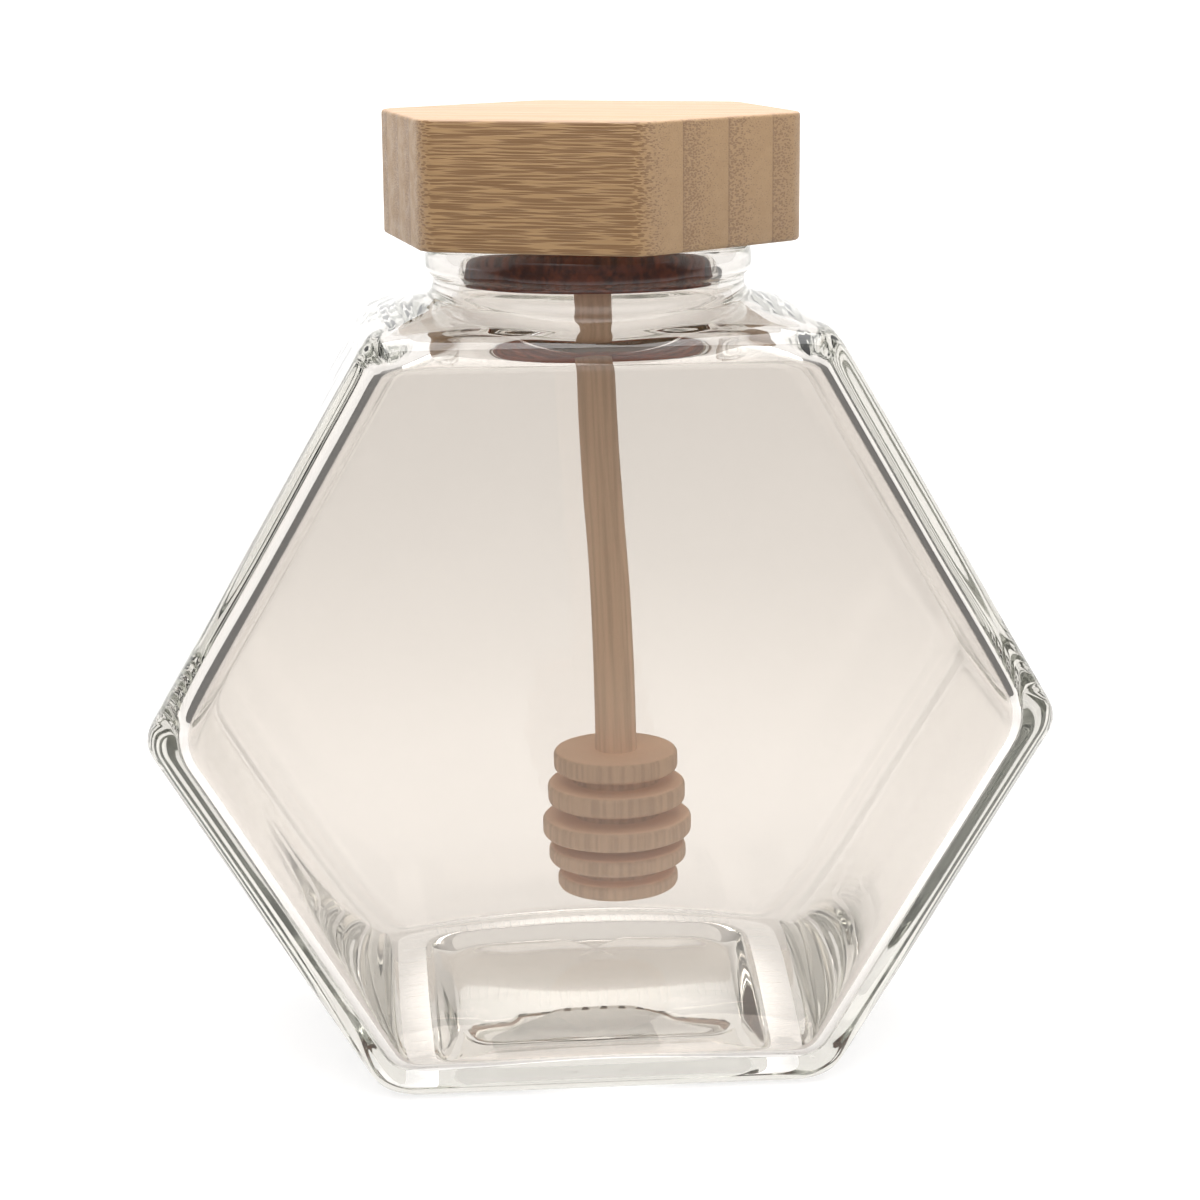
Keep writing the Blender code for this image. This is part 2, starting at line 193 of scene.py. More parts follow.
class HONEYJAR_PG_jar(bpy.types.PropertyGroup):
    """Sizes of the glass jar."""

    half_width: bpy.props.FloatProperty(
        name="Half Width", description="From the middle to the sharp side point of the hexagon",
        default=62.5 * MM, unit="LENGTH")
    depth: bpy.props.FloatProperty(
        name="Depth", description="Front face to back face", default=JAR_HIGH.y - JAR_LOW.y, unit="LENGTH")
    foot_half_width: bpy.props.FloatProperty(
        name="Foot Half Width", description="Half width of the hexagon at the foot",
        default=31.2 * MM, unit="LENGTH")
    shoulder_half_width: bpy.props.FloatProperty(
        name="Shoulder Half Width", description="Half width of the hexagon at the shoulder",
        default=30.9 * MM, unit="LENGTH")
    point_height: bpy.props.FloatProperty(
        name="Point Height", description="Height of the two side points", default=52.0 * MM, unit="LENGTH")
    body_height: bpy.props.FloatProperty(
        name="Body Height", description="Height of the hexagon's flat top",
        default=106.15 * MM, unit="LENGTH")
    neck_top: bpy.props.FloatProperty(
        name="Neck Top", description="Height of the rim", default=JAR_HIGH.z, unit="LENGTH")
    edge_radius: bpy.props.FloatProperty(
        name="Edge Radius", description="Rounding of the outer edges", default=4.4 * MM, unit="LENGTH")
    wall: bpy.props.FloatProperty(
        name="Wall", description="Thickness of the glass walls", default=3.0 * MM, unit="LENGTH")
    inner_edge_radius: bpy.props.FloatProperty(
        name="Inner Edge Radius", description="Rounding of the inner edges", default=4.0 * MM, unit="LENGTH")
    inner_point_radius: bpy.props.FloatProperty(
        name="Inner Point Radius", description="Rounding inside the side points",
        default=8.0 * MM, unit="LENGTH")
    roof_height: bpy.props.FloatProperty(
        name="Roof Height", description="Height where the rounded inner edge of the shoulder would end",
        default=103.6 * MM, unit="LENGTH")
    roof_edge_radius: bpy.props.FloatProperty(
        name="Roof Edge Radius", description="Rounding of the inner edge along the top of the front face",
        default=2.5 * MM, unit="LENGTH")
    floor_height: bpy.props.FloatProperty(
        name="Floor Height", description="Height of the inner floor over the table, at the front wall",
        default=3.6 * MM, unit="LENGTH")
    floor_middle: bpy.props.FloatProperty(
        name="Floor Middle", description="Height of the swelling middle of the inner floor",
        default=13.0 * MM, unit="LENGTH")
    floor_crest: bpy.props.FloatProperty(
        name="Floor Crest", description="How far behind the middle the floor is highest",
        default=6.0 * MM, unit="LENGTH")
    floor_side_drop: bpy.props.FloatProperty(
        name="Floor Side Drop", description="Drop of the floor towards its two sides",
        default=3.0 * MM, unit="LENGTH")
    floor_radius: bpy.props.FloatProperty(
        name="Floor Radius", description="Rounding between the inner floor and the walls",
        default=2.6 * MM, unit="LENGTH")
    recess_depth: bpy.props.FloatProperty(
        name="Recess Depth", description="Depth of the recess under the base",
        default=1.4 * MM, unit="LENGTH")
    recess_sag: bpy.props.FloatProperty(
        name="Recess Sag", description="How far the middle of the recess hangs down",
        default=0.35 * MM, unit="LENGTH")
    recess_slope: bpy.props.FloatProperty(
        name="Recess Slope", description="Width of the slanted left and right sides of the recess",
        default=3.4 * MM, unit="LENGTH")
    recess_slope_front: bpy.props.FloatProperty(
        name="Recess Front Slope", description="Width of the slanted front and back sides of the recess",
        default=6.8 * MM, unit="LENGTH")
    ring_side: bpy.props.FloatProperty(
        name="Ring Side Width", description="Width of the bearing ring at its sides",
        default=5.8 * MM, unit="LENGTH")
    ring_front: bpy.props.FloatProperty(
        name="Ring Front Width", description="Width of the bearing ring at its front and back",
        default=3.0 * MM, unit="LENGTH")
    bore_radius: bpy.props.FloatProperty(
        name="Bore Radius", description="Inner radius of the neck", default=18.0 * MM, unit="LENGTH")
    neck_radius: bpy.props.FloatProperty(
        name="Neck Radius", description="Outer radius of the neck", default=21.7 * MM, unit="LENGTH")
    bead_radius: bpy.props.FloatProperty(
        name="Bead Radius", description="Outer radius of the bead at the rim",
        default=22.7 * MM, unit="LENGTH")
    waviness: bpy.props.FloatProperty(
        name="Waviness", description="Unevenness of the blown inner walls", default=0.11 * MM, unit="LENGTH")


class HONEYJAR_PG_wood(bpy.types.PropertyGroup):
    """Sizes of the lid and the dipper."""

    lid_radius: bpy.props.FloatProperty(
        name="Lid Radius", description="From the lid's middle to its sharp corners",
        default=30.4 * MM, unit="LENGTH")
    lid_corner: bpy.props.FloatProperty(
        name="Lid Corner", description="Rounding of the lid's upright corners",
        default=4.0 * MM, unit="LENGTH")
    lid_edge: bpy.props.FloatProperty(
        name="Lid Edge", description="Rounding of the lid's top and bottom edges",
        default=0.5 * MM, unit="LENGTH")
    lid_turn: bpy.props.FloatProperty(
        name="Lid Turn", description="Turn of the lid about the upright axis",
        default=math.radians(-20.85), unit="ROTATION")
    strip_width: bpy.props.FloatProperty(
        name="Strip Width", description="Thickness of the glued bamboo strips",
        default=7.4 * MM, unit="LENGTH")
    first_glue_line: bpy.props.FloatProperty(
        name="First Glue Line", description="From the lid's front face to its first glue line",
        default=6.1 * MM, unit="LENGTH")
    groove_radius: bpy.props.FloatProperty(
        name="Groove Radius", description="Radius at the bottom of the dipper's grooves",
        default=6.2 * MM, unit="LENGTH")
    head_tilt: bpy.props.FloatProperty(
        name="Head Tilt", description="Lean of the dipper's head",
        default=math.radians(-0.9), unit="ROTATION")


class HONEYJAR_PG_finish(bpy.types.PropertyGroup):
    """Colours of the finishes."""

    glass: bpy.props.FloatVectorProperty(
        name="Glass", description="Tint of the glass", default=(0.79, 0.758, 0.725),
        subtype="COLOR", size=3, min=0.0, max=1.0)
    bamboo_light: bpy.props.FloatVectorProperty(
        name="Bamboo Light", description="Pale wood between the fibres", default=(0.41, 0.252, 0.117),
        subtype="COLOR", size=3, min=0.0, max=1.0)
    # Painted light: the overhead lamp's sheen on the lid's top face, painted in as a paler colour
    bamboo_painted_top_sheen: bpy.props.FloatVectorProperty(
        name="Bamboo Top", description="Sanded top face", default=(0.55, 0.37, 0.25),
        subtype="COLOR", size=3, min=0.0, max=1.0)
    bamboo_dark: bpy.props.FloatVectorProperty(
        name="Bamboo Dark", description="Dark fibre bundles", default=(0.175, 0.084, 0.030),
        subtype="COLOR", size=3, min=0.0, max=1.0)
    cork: bpy.props.FloatVectorProperty(
        name="Cork", description="Dark cork disc", default=(0.20, 0.040, 0.009),
        subtype="COLOR", size=3, min=0.0, max=1.0)
    # The dowel is the same beech as the head; its paler colour is painted light, making up for the light it
    # lacks inside the jar
    dowel: bpy.props.FloatVectorProperty(
        name="Dowel", description="Bare wood of the dipper's dowel", default=(0.85, 0.615, 0.44),
        subtype="COLOR", size=3, min=0.0, max=1.0)
    head: bpy.props.FloatVectorProperty(
        name="Head", description="Bare wood of the dipper's head", default=(0.71, 0.485, 0.325),
        subtype="COLOR", size=3, min=0.0, max=1.0)


def finish_mesh(bm, name, sharp_deg=40.0):
    """Make an object at the origin from a finished bmesh, shaded smooth with its sharp edges kept."""
    mesh = bpy.data.meshes.new(name)
    bm.to_mesh(mesh)
    bm.free()
    mesh.shade_smooth()
    mesh.set_sharp_from_angle(angle=math.radians(sharp_deg))
    piece = bpy.data.objects.new(name, mesh)
    bpy.context.scene.collection.objects.link(piece)
    return piece


def subdivide(piece, levels):
    modifier = piece.modifiers.new("Smooth Surface", "SUBSURF")
    modifier.levels = levels
    modifier.render_levels = levels


def dress(piece, node, material):
    """Stand the piece in for its CAD node."""
    piece.data.materials.append(material)
    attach(piece, BODY)
    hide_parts(node)


# Node helpers

def add_node(tree, kind, **values):
    node = tree.nodes.new(kind)
    for key, value in values.items():
        setattr(node, key, value)
    return node


def math_node(tree, operation, first, second=None, clamp=False):
    """A Math node whose inputs are sockets or numbers."""
    node = add_node(tree, "ShaderNodeMath", operation=operation, use_clamp=clamp)
    for socket, value in zip(node.inputs, (first, second)):
        if value is None:
            continue
        if isinstance(value, (int, float)):
            socket.default_value = value
        else:
            tree.links.new(value, socket)
    return node.outputs[0]


def map_range(tree, value, low, high, to_low=0.0, to_high=1.0, smooth=True):
    node = add_node(tree, "ShaderNodeMapRange", interpolation_type="SMOOTHSTEP" if smooth else "LINEAR")
    tree.links.new(value, node.inputs["Value"])
    node.inputs["From Min"].default_value = low
    node.inputs["From Max"].default_value = high
    node.inputs["To Min"].default_value = to_low
    node.inputs["To Max"].default_value = to_high
    return node.outputs["Result"]


def mix_colour(tree, factor, first, second):
    node = add_node(tree, "ShaderNodeMix", data_type="RGBA")
    tree.links.new(factor, node.inputs["Factor"])
    for socket, value in ((node.inputs["A"], first), (node.inputs["B"], second)):
        if isinstance(value, bpy.types.NodeSocket):
            tree.links.new(value, socket)
        else:
            socket.default_value = (*value, 1.0)
    return node.outputs["Result"]


def new_group(name, inputs, outputs):
    """An empty shader node group. inputs and outputs are (name, socket type, default)."""
    tree = bpy.data.node_groups.new(name, "ShaderNodeTree")
    for label, kind, default in inputs:
        socket = tree.interface.new_socket(label, in_out="INPUT", socket_type=kind)
        if default is not None:
            socket.default_value = default
    for label, kind in outputs:
        tree.interface.new_socket(label, in_out="OUTPUT", socket_type=kind)
    start = tree.nodes.new("NodeGroupInput")
    end = tree.nodes.new("NodeGroupOutput")
    return tree, start, end


def stretched_noise_group():
    """Fine noise that runs along one direction of its vector, for grain and fibres."""
    existing = bpy.data.node_groups.get("stretched_noise")
    if existing:
        return existing
    tree, start, end = new_group(
        "stretched_noise",
        [("Vector", "NodeSocketVector", None), ("Across", "NodeSocketFloat", 800.0),
         ("Along", "NodeSocketFloat", 30.0), ("Detail", "NodeSocketFloat", 3.0)],
        [("Value", "NodeSocketFloat")])
    scale = add_node(tree, "ShaderNodeCombineXYZ")
    tree.links.new(start.outputs["Along"], scale.inputs["X"])
    tree.links.new(start.outputs["Across"], scale.inputs["Y"])
    tree.links.new(start.outputs["Across"], scale.inputs["Z"])
    multiply = add_node(tree, "ShaderNodeVectorMath", operation="MULTIPLY")
    tree.links.new(start.outputs["Vector"], multiply.inputs[0])
    tree.links.new(scale.outputs[0], multiply.inputs[1])
    texture = add_node(tree, "ShaderNodeTexNoise")
    texture.inputs["Scale"].default_value = 1.0
    tree.links.new(multiply.outputs[0], texture.inputs["Vector"])
    tree.links.new(start.outputs["Detail"], texture.inputs["Detail"])
    tree.links.new(texture.outputs["Fac"], end.inputs["Value"])
    return tree


def place_group(tree, group, vector, **values):
    node = add_node(tree, "ShaderNodeGroup", node_tree=group)
    tree.links.new(vector, node.inputs["Vector"])
    for key, value in values.items():
        node.inputs[key].default_value = value
    return node


def new_material(name, roughness, colour=None):
    """A Principled material. Returns it with its tree and shader."""
    material = bpy.data.materials.new(name)
    material.use_nodes = True
    tree = material.node_tree
    shader = tree.nodes["Principled BSDF"]
    shader.inputs["Roughness"].default_value = roughness
    if colour:
        shader.inputs["Base Color"].default_value = (*colour, 1.0)
    return material, tree, shader


def local_coordinates(tree, turn=(0.0, 0.0, 0.0), centre=(0.0, 0.0, 0.0)):
    """Object coordinates moved from the centre and turned."""
    source = add_node(tree, "ShaderNodeTexCoord")
    shift = add_node(tree, "ShaderNodeVectorMath", operation="SUBTRACT")
    shift.inputs[1].default_value = centre
    tree.links.new(source.outputs["Object"], shift.inputs[0])
    mapping = add_node(tree, "ShaderNodeMapping")
    mapping.inputs["Rotation"].default_value = turn
    tree.links.new(shift.outputs[0], mapping.inputs["Vector"])
    return mapping.outputs["Vector"]


def add_bump(tree, shader, height, strength, distance):
    bump = add_node(tree, "ShaderNodeBump")
    bump.inputs["Strength"].default_value = strength
    bump.inputs["Distance"].default_value = distance
    tree.links.new(height, bump.inputs["Height"])
    tree.links.new(bump.outputs["Normal"], shader.inputs["Normal"])


# Materials

def glass_material(colour):
    """Clear soda-lime glass with a faint warm tint."""
    material, tree, shader = new_material("clear_glass", 0.0, colour)
    shader.inputs["Transmission Weight"].default_value = 1.0
    shader.inputs["IOR"].default_value = GLASS_IOR
    depth = add_node(tree, "ShaderNodeVolumeAbsorption")
    depth.inputs["Color"].default_value = GLASS_DEPTH_COLOUR
    depth.inputs["Density"].default_value = GLASS_DEPTH_DENSITY
    output = next(node for node in tree.nodes if node.type == "OUTPUT_MATERIAL")
    tree.links.new(depth.outputs["Volume"], output.inputs["Volume"])
    add_bump(tree, shader, knurled_foot(tree), 1.0, KNURL_RELIEF)
    return material


def knurled_foot(tree):
    """Small bars pressed into the bearing ring: across it at the sides, along Y at its front and back."""
    parts = add_node(tree, "ShaderNodeSeparateXYZ")
    tree.links.new(local_coordinates(tree), parts.inputs[0])
    across = math_node(tree, "ABSOLUTE", parts.outputs["X"])
    side_zone = zone(tree, across, *KNURL_SIDE_ZONE)
    end_zone = zone(tree, math_node(tree, "ABSOLUTE", parts.outputs["Y"]), *KNURL_END_ZONE)
    beside = map_range(tree, across, *KNURL_END_FADE, 1.0, 0.0)
    side_bars = wave(tree, parts.outputs["Y"], KNURL_SIDE_PITCH)
    beads = math_node(tree, "MULTIPLY", wave(tree, parts.outputs["X"], KNURL_BEAD_PITCH), 0.5)
    beads = math_node(tree, "ADD", beads, 0.5)
    side_bars = math_node(tree, "MULTIPLY", side_bars, beads)
    end_bars = math_node(tree, "MULTIPLY", wave(tree, parts.outputs["X"], KNURL_END_PITCH), beside)
    relief = math_node(tree, "ADD", math_node(tree, "MULTIPLY", side_bars, side_zone),
                       math_node(tree, "MULTIPLY", end_bars, end_zone))
    below = map_range(tree, parts.outputs["Z"], *KNURL_TOP_FADE, 1.0, 0.0)
    return math_node(tree, "MULTIPLY", relief, below)


def zone(tree, value, low, high, soft=0.0004):
    """One between low and high, with soft ends."""
    start = map_range(tree, value, low - soft, low + soft)
    end = map_range(tree, value, high - soft, high + soft, 1.0, 0.0)
    return math_node(tree, "MULTIPLY", start, end)


def wave(tree, value, pitch):
    """Rounded bumps between zero and one, one every pitch."""
    turned = math_node(tree, "COSINE", math_node(tree, "MULTIPLY", value, 2.0 * math.pi / pitch))
    return map_range(tree, turned, -0.2, 0.8)


def bamboo_material(finish, wood):
    """Laminated bamboo: strips side by side, with fibre bundles that run along the front face."""
    material, tree, shader = new_material("laminated_bamboo", 0.5)
    vector = local_coordinates(tree, (0.0, 0.0, -wood.lid_turn))
    parts = add_node(tree, "ShaderNodeSeparateXYZ")
    tree.links.new(vector, parts.inputs[0])
    apothem = wood.lid_radius * math.cos(math.radians(30.0))
    first_line = -apothem + wood.first_glue_line
    along = math_node(tree, "SUBTRACT", parts.outputs["Y"], first_line)
    strips = math_node(tree, "DIVIDE", along, wood.strip_width)
    strip_number = math_node(tree, "FLOOR", strips)
    in_strip = math_node(tree, "FRACT", strips)
    shade = add_node(tree, "ShaderNodeTexWhiteNoise", noise_dimensions="1D")
    tree.links.new(strip_number, shade.inputs["W"])

    offset = add_node(tree, "ShaderNodeCombineXYZ")
    tree.links.new(math_node(tree, "MULTIPLY", shade.outputs["Value"], 0.5), offset.inputs["X"])
    strip_vector = add_node(tree, "ShaderNodeVectorMath", operation="ADD")
    tree.links.new(vector, strip_vector.inputs[0])
    tree.links.new(offset.outputs[0], strip_vector.inputs[1])
    bundle_scale = add_node(tree, "ShaderNodeVectorMath", operation="MULTIPLY")
    bundle_scale.inputs[1].default_value = BUNDLE_SCALE
    tree.links.new(strip_vector.outputs[0], bundle_scale.inputs[0])
    bundles = add_node(tree, "ShaderNodeTexVoronoi", feature="F1")
    bundles.inputs["Scale"].default_value = 1.0
    bundles.inputs["Randomness"].default_value = 0.9
    tree.links.new(bundle_scale.outputs[0], bundles.inputs["Vector"])
    density = map_range(tree, in_strip, 0.02, 0.95, *BUNDLE_CROWDING)
    near = math_node(tree, "SUBTRACT", density, bundles.outputs["Distance"])
    bundle_mask = map_range(tree, near, -0.06, 0.10)

    fine = place_group(tree, stretched_noise_group(), strip_vector.outputs[0], Across=4200.0, Along=110.0)
    broad = place_group(tree, stretched_noise_group(), strip_vector.outputs[0], Across=520.0, Along=16.0)
    fine_mask = map_range(tree, fine.outputs["Value"], 0.35, 0.70)
    broad_mask = map_range(tree, broad.outputs["Value"], 0.35, 0.65)
    light = tuple(finish.bamboo_light)
    dark = tuple(finish.bamboo_dark)
    middle = tuple(a * 0.62 + b * 0.38 for a, b in zip(light, dark))
    base = mix_colour(tree, math_node(tree, "MULTIPLY", fine_mask, 0.45), light, middle)
    base = mix_colour(tree, math_node(tree, "MULTIPLY", broad_mask, 0.3), base, middle)
    strip_shade = math_node(tree, "MULTIPLY", shade.outputs["Value"], 0.30)
    base = mix_colour(tree, strip_shade, base, middle)
    colour = mix_colour(tree, math_node(tree, "MULTIPLY", bundle_mask, 0.75), base, dark)
    glue = map_range(tree, in_strip, 0.015, 0.05, 1.0, 0.0)
    colour = mix_colour(tree, math_node(tree, "MULTIPLY", glue, 0.6), colour, dark)
    colour = top_painted_sheen(tree, wood, colour, tuple(finish.bamboo_painted_top_sheen))
    tree.links.new(colour, shader.inputs["Base Color"])
    relief = math_node(tree, "SUBTRACT", fine_mask, bundle_mask)
    add_bump(tree, shader, relief, 0.5, BUNDLE_RELIEF)
    rough = map_range(tree, broad.outputs["Value"], 0.3, 0.7, 0.42, 0.58)
    tree.links.new(rough, shader.inputs["Roughness"])
    return material


def top_painted_sheen(tree, wood, colour, pale):
    """Painted sheen of the overhead light that makes the top face paler, and greyer end grain on the faces
    that cut across the strips.
    """
    source = add_node(tree, "ShaderNodeTexCoord")
    turned = add_node(tree, "ShaderNodeMapping")
    turned.inputs["Rotation"].default_value = (0.0, 0.0, -wood.lid_turn)
    tree.links.new(source.outputs["Normal"], turned.inputs["Vector"])
    facing = add_node(tree, "ShaderNodeSeparateXYZ")
    tree.links.new(turned.outputs["Vector"], facing.inputs[0])
    end = map_range(tree, math_node(tree, "ABSOLUTE", facing.outputs["X"]), 0.3, 0.8)
    greyed = mix_colour(tree, math_node(tree, "MULTIPLY", end, 0.25), colour, END_GRAIN_COLOUR)
    # Painted sheen: faces turned up are mixed towards the pale colour, standing in for the overhead light on
    # them
    top = map_range(tree, facing.outputs["Z"], 0.4, 0.9)
    return mix_colour(tree, math_node(tree, "MULTIPLY", top, 0.6), greyed, pale)


def cork_material(finish):
    """Dark mottled cork."""
    material, tree, shader = new_material("dark_cork", 0.8)
    vector = local_coordinates(tree)
    grains = add_node(tree, "ShaderNodeTexVoronoi", feature="F1")
    grains.inputs["Scale"].default_value = CORK_GRAIN_SCALE
    tree.links.new(vector, grains.inputs["Vector"])
    clouds = add_node(tree, "ShaderNodeTexNoise")
    clouds.inputs["Scale"].default_value = CORK_CLOUD_SCALE
    clouds.inputs["Detail"].default_value = 4.0
    tree.links.new(vector, clouds.inputs["Vector"])
    colour = tuple(finish.cork)
    lighter = tuple(channel * 1.9 for channel in colour)
    darker = tuple(channel * 0.6 for channel in colour)
    cloud_mask = map_range(tree, clouds.outputs["Fac"], 0.35, 0.65)
    base = mix_colour(tree, cloud_mask, darker, lighter)
    grain_value = add_node(tree, "ShaderNodeSeparateColor")
    tree.links.new(grains.outputs["Color"], grain_value.inputs[0])
    base = mix_colour(tree, math_node(tree, "MULTIPLY", grain_value.outputs[0], 0.5), base, colour)
    tree.links.new(base, shader.inputs["Base Color"])
    add_bump(tree, shader, grains.outputs["Distance"], 0.5, CORK_RELIEF)
    return material


def beech_material(name, colour, tilt):
    """Bare turned wood with fine upright grain, with painted light that makes the faces turned up paler."""
    material, tree, shader = new_material(name, 0.62)
    vector = local_coordinates(tree, (0.0, math.radians(90.0) + tilt, 0.0))
    grain = place_group(tree, stretched_noise_group(), vector, Across=1500.0, Along=45.0)
    broad = place_group(tree, stretched_noise_group(), vector, Across=260.0, Along=12.0)
    darker = tuple(channel * 0.72 for channel in colour)
    paler = tuple(min(channel * 1.12, 1.0) for channel in colour)
    grain_mask = map_range(tree, grain.outputs["Value"], 0.38, 0.68)
    broad_mask = map_range(tree, broad.outputs["Value"], 0.35, 0.65)
    base = mix_colour(tree, math_node(tree, "MULTIPLY", broad_mask, 0.6), paler, colour)
    base = mix_colour(tree, math_node(tree, "MULTIPLY", grain_mask, 0.5), base, darker)
    source = add_node(tree, "ShaderNodeTexCoord")
    facing = add_node(tree, "ShaderNodeSeparateXYZ")
    tree.links.new(source.outputs["Normal"], facing.inputs[0])
    # Painted light: faces turned up are paled as if lit from above
    up_facing_painted_light = map_range(tree, facing.outputs["Z"], 0.6, 0.95)
    painted_lit_colour = tuple(min(channel * 1.35, 1.0) for channel in colour)
    base = mix_colour(tree, math_node(tree, "MULTIPLY", up_facing_painted_light, 0.8), base, painted_lit_colour)
    tree.links.new(base, shader.inputs["Base Color"])
    add_bump(tree, shader, grain.outputs["Value"], 0.35, BEECH_RELIEF)
    return material


# Hexagon outline of the jar

class JarShape:
    """Horizontal sections of the jar, worked out from its sizes."""

    def __init__(self, sizes):
        self.s = sizes
        self.half_depth = sizes.depth / 2.0
        self.lower_slope = math.atan2(sizes.point_height, sizes.half_width - sizes.foot_half_width)
        self.upper_slope = math.atan2(sizes.body_height - sizes.point_height,
                                      sizes.half_width - sizes.shoulder_half_width)

    def side_line(self, z, inset=0.0):
        """Half width of the slanted sides at height z, moved inwards by inset."""
        s = self.s
        lower = s.foot_half_width + z / math.tan(self.lower_slope) - inset / math.sin(self.lower_slope)
        upper = s.half_width - (z - s.point_height) / math.tan(self.upper_slope)
        upper -= inset / math.sin(self.upper_slope)
        return min(lower, upper)

    def point_arc(self, radius, inset=0.0):
        """(half width, height) points round the side point of the hexagon, from below upwards."""
        turn = math.pi - self.lower_slope - self.upper_slope
        middle = Vector((self.side_line(self.s.point_height, inset), self.s.point_height))
        centre = middle - Vector((radius / math.cos(turn / 2.0), 0.0))
        first = self.lower_slope - math.pi / 2.0
        arc = []
        for step in range(ARC_STEPS + 1):
            angle = first + turn * step / ARC_STEPS
            arc.append((centre.x + radius * math.cos(angle), centre.y + radius * math.sin(angle)))
        return arc

    def heel_arc(self, floor_z, radius, inset=0.0):
        """(half width, half depth, height) points where the walls round into a floor, from the floor up."""
        flat_width = self.side_line(floor_z, inset) - radius * math.tan(self.lower_slope / 2.0)
        flat_depth = self.half_depth - inset - radius
        tangent_z = floor_z + radius * (1.0 - math.cos(self.lower_slope))
        arc = []
        for step in range(ARC_STEPS + 1):
            angle = math.pi / 2.0 * step / ARC_STEPS
            z = floor_z + radius * (1.0 - math.cos(angle))
            reach = math.sqrt(max(radius ** 2 - (radius - (z - floor_z)) ** 2, 0.0))
            width = flat_width + reach if z < tangent_z else self.side_line(z, inset)
            arc.append((width, flat_depth + radius * math.sin(angle), z))
        return arc

    def floor_lift(self, point):
        """How far the swelling floor lifts a point of the inside; it fades out up the walls."""
        s = self.s
        swell = s.floor_middle - s.floor_height
        back = (point.y - s.floor_crest) / (self.half_depth - s.wall + s.floor_crest)
        side = point.x / s.foot_half_width
        lift = swell * (1.0 - back ** 2) - s.floor_side_drop * side ** 2
        fade = max(1.0 - (point.z - s.floor_height) / (FLOOR_FADE_SHARE * s.point_height), 0.0)
        return max(lift, 0.0) * fade ** 2


def eased(fraction):
    """Spread steps so that they gather at both ends of a flat stretch."""
    return 0.5 * fraction + 0.5 * (0.5 - 0.5 * math.cos(math.pi * fraction))


def section_point(index, half_width, half_depth, corner, roundness):
    """Point of a horizontal section, from a rounded rectangle (0) to an ellipse (1)."""
    quarter_steps = JAR_RING_POINTS // 4
    quarter, step = divmod(index, quarter_steps)
    flat_steps = quarter_steps // 3
    arc_steps = quarter_steps - 2 * flat_steps
    if quarter % 2 == 1:
        step = quarter_steps - step
    if step <= flat_steps:
        x = half_width
        y = (half_depth - corner) * eased(step / flat_steps)
    elif step < flat_steps + arc_steps:
        angle = math.pi / 2.0 * (step - flat_steps) / arc_steps
        x = half_width - corner + corner * math.cos(angle)
        y = half_depth - corner + corner * math.sin(angle)
    else:
        x = (half_width - corner) * eased((quarter_steps - step) / flat_steps)
        y = half_depth
    angle = math.pi / 2.0 * step / quarter_steps
    x += (half_width * math.cos(angle) - x) * roundness
    y += (half_depth * math.sin(angle) - y) * roundness
    if quarter in (1, 2):
        x = -x
    if quarter in (2, 3):
        y = -y
    return x, y


def section(half_width, half_depth, z, corner, roundness=0.0, side_z=None):
    """One ring of the jar. side_z lifts the ring towards its two sides, as on the saddle shoulder."""
    side_z = z if side_z is None else side_z
    points = []
    for index in range(JAR_RING_POINTS):
        x, y = section_point(index, half_width, half_depth, corner, roundness)
        lift = (side_z - z) * (x / half_width) ** 2
        points.append(Vector((x, y, z + lift)))
    return points


def round_section(radius, z, side_z=None):
    """A circular ring."""
    return section(radius, radius, z, radius, 1.0, side_z)


def loft(rings):
    """Closed skin through the rings in order, with a cap on the first and the last."""
    bm = bmesh.new()
    number = bm.verts.layers.int.new("number")
    first = bmesh.ops.create_circle(bm, segments=JAR_RING_POINTS, radius=1.0)["verts"]
    for index, vert in enumerate(first):
        vert[number] = index
        vert.co = rings[0][index]
    edges = list(bm.edges)
    bmesh.ops.contextual_create(bm, geom=edges)
    for ring in rings[1:]:
        grown = bmesh.ops.extrude_edge_only(bm, edges=edges)["geom"]
        for item in grown:
            if isinstance(item, bmesh.types.BMVert):
                item.co = ring[item[number]]
        edges = [item for item in grown if isinstance(item, bmesh.types.BMEdge) and item.is_boundary]
    bmesh.ops.contextual_create(bm, geom=edges)
    caps = [face for face in bm.faces if len(face.verts) > 4]
    bmesh.ops.poke(bm, faces=caps)
    bmesh.ops.recalc_face_normals(bm, faces=bm.faces)
    return bm


def foot_rings(shape):
    """Recess under the base, from its middle out to the bearing ring."""
    s = shape.s
    ring_width, ring_depth, _ = shape.heel_arc(0.0, s.edge_radius)[0]
    width = ring_width - s.ring_side
    depth = ring_depth - s.ring_front
    corner = RECESS_CORNER
    flat_width = width - s.recess_slope
    flat_depth = depth - s.recess_slope_front
    rings = []
    for shrink in RECESS_SHARES:
        height = s.recess_depth - s.recess_sag * (1.0 - shrink ** 2)
        rings.append(section(flat_width * shrink, flat_depth * shrink, height, corner * shrink))
    for share, height in RECESS_SLOPE:
        slope_width = flat_width + (width - flat_width) * share
        slope_depth = flat_depth + (depth - flat_depth) * share
        rings.append(section(slope_width, slope_depth, s.recess_depth * height, corner))
    for share in BEARING_SHARES:
        ring_corner = corner + (s.edge_radius - corner) * share
        rings.append(section(width + s.ring_side * share, depth + s.ring_front * share, 0.0, ring_corner))
    return rings


def between(low, high, steps):
    """Heights between two, gathered near both ends."""
    return [low + (high - low) * eased(step / steps) for step in range(1, steps)]


